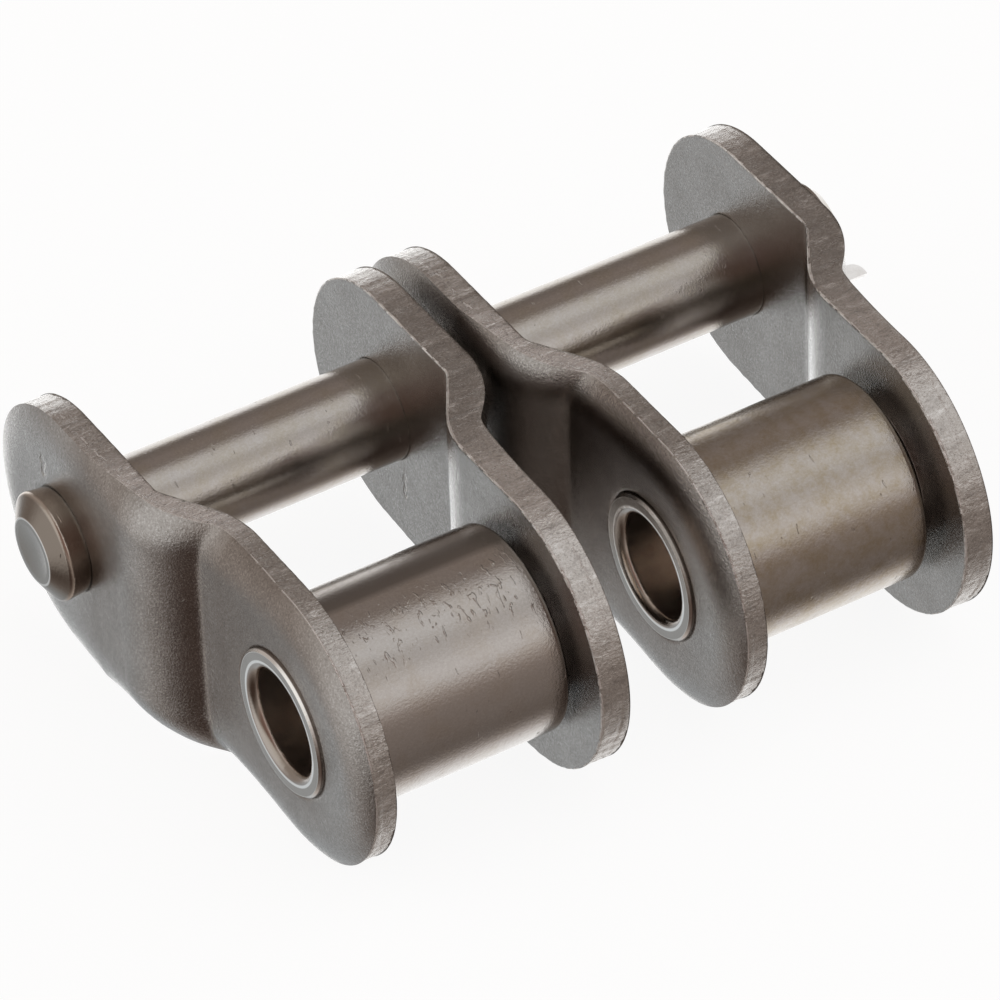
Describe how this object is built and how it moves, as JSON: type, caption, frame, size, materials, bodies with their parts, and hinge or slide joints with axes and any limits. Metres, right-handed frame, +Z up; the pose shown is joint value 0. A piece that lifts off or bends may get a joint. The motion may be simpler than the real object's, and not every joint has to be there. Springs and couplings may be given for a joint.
{
  "type": "offset link",
  "caption": "Crank-plated offset link for a double strand roller chain: bushes and rollers at one end, a removable headed pin with a cotter at the other.",
  "frame": {"origin": "on the axis of the bushes, half way between the two strands", "axes": "+X along the bush and pin axes, from the pin's head to its cotter; +Y from the bush axis to the pin axis, one pitch away; +Z up, across the plates"},
  "size_m": [0.0502, 0.0351, 0.0168],
  "materials": {
    "plate_steel": "satin",
    "bush_steel": "polished",
    "roller_steel": "satin",
    "pin_steel": "satin",
    "cotter_steel": "satin"
  },
  "bodies": {
    "link": {"plate_outer_left": "plate_steel", "plate_inner_left": "plate_steel", "plate_inner_right": "plate_steel", "plate_outer_right": "plate_steel", "bush_left": "bush_steel", "bush_right": "bush_steel", "pin": "pin_steel", "cotter_pin": "cotter_steel"},
    "left_roller": {"roller_left": "roller_steel"},
    "right_roller": {"roller_right": "roller_steel"}
  },
  "joints": [
    {"name": "roller_left_spin", "type": "hinge", "parent": "link", "child": "left_roller", "pos_m": [-0.01139, 0, 0], "axis": [1, 0, 0], "continuous": true},
    {"name": "roller_right_spin", "type": "hinge", "parent": "link", "child": "right_roller", "pos_m": [0.01109, 0, 0], "axis": [1, 0, 0], "continuous": true}
  ]
}
